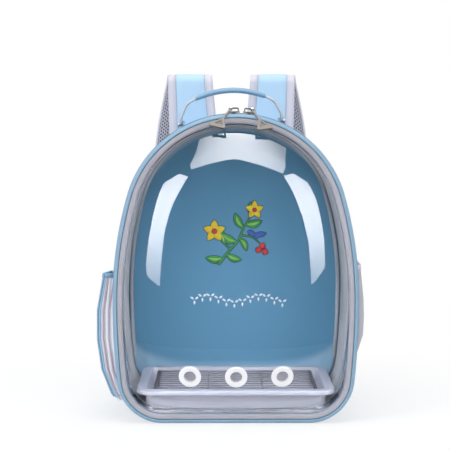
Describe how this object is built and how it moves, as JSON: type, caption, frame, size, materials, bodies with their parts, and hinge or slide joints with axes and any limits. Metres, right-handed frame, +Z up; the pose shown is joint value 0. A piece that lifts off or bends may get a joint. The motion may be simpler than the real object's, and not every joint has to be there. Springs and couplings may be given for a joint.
{
  "type": "bird travel carrier",
  "caption": "Arch-shaped backpack carrier for a bird: fabric shell, clear domed zip door with vents, lift-out waste tray and wire grate, straps and handle.",
  "frame": {"origin": "centre of the resting face under the base", "axes": "+X to the viewer's right when facing the bubble, +Y from the bubble to the back pad, +Z up"},
  "size_m": [0.37, 0.3024, 0.48],
  "materials": {
    "clear_pvc": "clear bright film",
    "grille_gauze": "fine gauze",
    "white_plastic": "moulded satin",
    "grey_binding": "woven tape",
    "light_blue_trim": "coated woven trim",
    "navy_web": "woven backing",
    "zip_tape": "zip tape and coil",
    "mesh_grey": "open mesh",
    "strap_mesh": "air mesh padding",
    "sky_fabric": "woven polyester",
    "shell_fabric": "laminated woven polyester",
    "lining": "printed lining",
    "pouch_fabric": "pleated woven fabric",
    "webbing_grey": "ribbed webbing",
    "black_plastic": "moulded buckle",
    "board_plastic": "ribbed board",
    "tray_plastic": "satin tray plastic",
    "bright_wire": "plated wire",
    "zip_metal": "plated zinc",
    "hinge_cord": "cord"
  },
  "bodies": {
    "carrier": {"back_lining": "lining", "back_pad": "grey_binding", "back_panel": "shell_fabric", "base_panel": "shell_fabric", "floor_board": "board_plastic", "handle_anchor_left": "sky_fabric", "handle_anchor_right": "sky_fabric", "handle_rivet_left": "zip_metal", "handle_rivet_right": "zip_metal", "hinge_cord": "hinge_cord", "inner_binding": "grey_binding", "ladder_buckle_left": "black_plastic", "ladder_buckle_right": "black_plastic", "mesh_pocket_right": "mesh_grey", "pocket_binding_right": "grey_binding", "pouch_binding_left": "light_blue_trim", "rear_piping": "light_blue_trim", "side_panel_left": "shell_fabric", "side_panel_right": "shell_fabric", "side_pouch_left": "pouch_fabric", "strap_anchor_left": "webbing_grey", "strap_anchor_right": "webbing_grey", "strap_facing_left": "sky_fabric", "strap_facing_right": "sky_fabric", "strap_pad_left": "strap_mesh", "strap_pad_right": "strap_mesh", "strap_webbing_left": "webbing_grey", "strap_webbing_right": "webbing_grey", "top_panel": "shell_fabric", "window_binding_left": "light_blue_trim", "window_binding_right": "light_blue_trim", "window_mesh_left": "mesh_grey", "window_mesh_right": "mesh_grey", "zip_track_body": "zip_tape"},
    "door": {"bubble_window": "clear_pvc", "door_binding": "grey_binding", "door_rim": "light_blue_trim", "door_web": "navy_web", "zip_track_door": "zip_tape", "vent_mesh_left": "grille_gauze", "vent_mesh_middle": "grille_gauze", "vent_mesh_right": "grille_gauze", "vent_ring_left": "white_plastic", "vent_ring_middle": "white_plastic", "vent_ring_right": "white_plastic", "vent_washer_left": "white_plastic", "vent_washer_middle": "white_plastic", "vent_washer_right": "white_plastic"},
    "zip_slider_left": {"zip_slider_left": "zip_metal"},
    "zip_slider_right": {"zip_slider_right": "zip_metal"},
    "zip_pull_left": {"zip_pull_left": "zip_metal"},
    "zip_pull_right": {"zip_pull_right": "zip_metal"},
    "tray": {"waste_tray": "tray_plastic"},
    "grate": {"wire_grate": "bright_wire", "grate_feet": "bright_wire"},
    "handle": {"handle_webbing": "webbing_grey", "handle_grip": "sky_fabric"}
  },
  "joints": [
    {"name": "door_hinge", "type": "hinge", "parent": "carrier", "child": "door", "pos_m": [0, -0.1, 0.005], "axis": [1, 0, 0], "range_deg": [0, 52]},
    {"name": "slider_travel_left", "type": "hinge", "parent": "door", "child": "zip_slider_left", "pos_m": [0, -0.0924, 0.268], "axis": [0, -1, 0], "range_deg": [0, 55]},
    {"name": "slider_travel_right", "type": "hinge", "parent": "door", "child": "zip_slider_right", "pos_m": [0, -0.0924, 0.268], "axis": [0, 1, 0], "range_deg": [0, 55]},
    {"name": "pull_swing_left", "type": "hinge", "parent": "zip_slider_left", "child": "zip_pull_left", "pos_m": [-0.00315, -0.0924, 0.42737], "axis": [-0.9998, 0, -0.0197], "range_deg": [0, 150]},
    {"name": "pull_swing_right", "type": "hinge", "parent": "zip_slider_right", "child": "zip_pull_right", "pos_m": [0.01821, -0.0924, 0.42636], "axis": [-0.9935, 0, 0.1142], "range_deg": [0, 150]},
    {"name": "tray_lift", "type": "slide", "parent": "carrier", "child": "tray", "axis": [0, 0, 1], "range_m": [0, 0.12]},
    {"name": "grate_lift", "type": "slide", "parent": "tray", "child": "grate", "axis": [0, 0, 1], "range_m": [0, 0.1]},
    {"name": "handle_swing", "type": "hinge", "parent": "carrier", "child": "handle", "pos_m": [-0.00505, 0.025, 0.40751], "axis": [0.9993, 0, 0.0362], "range_deg": [-58, 58]}
  ]
}
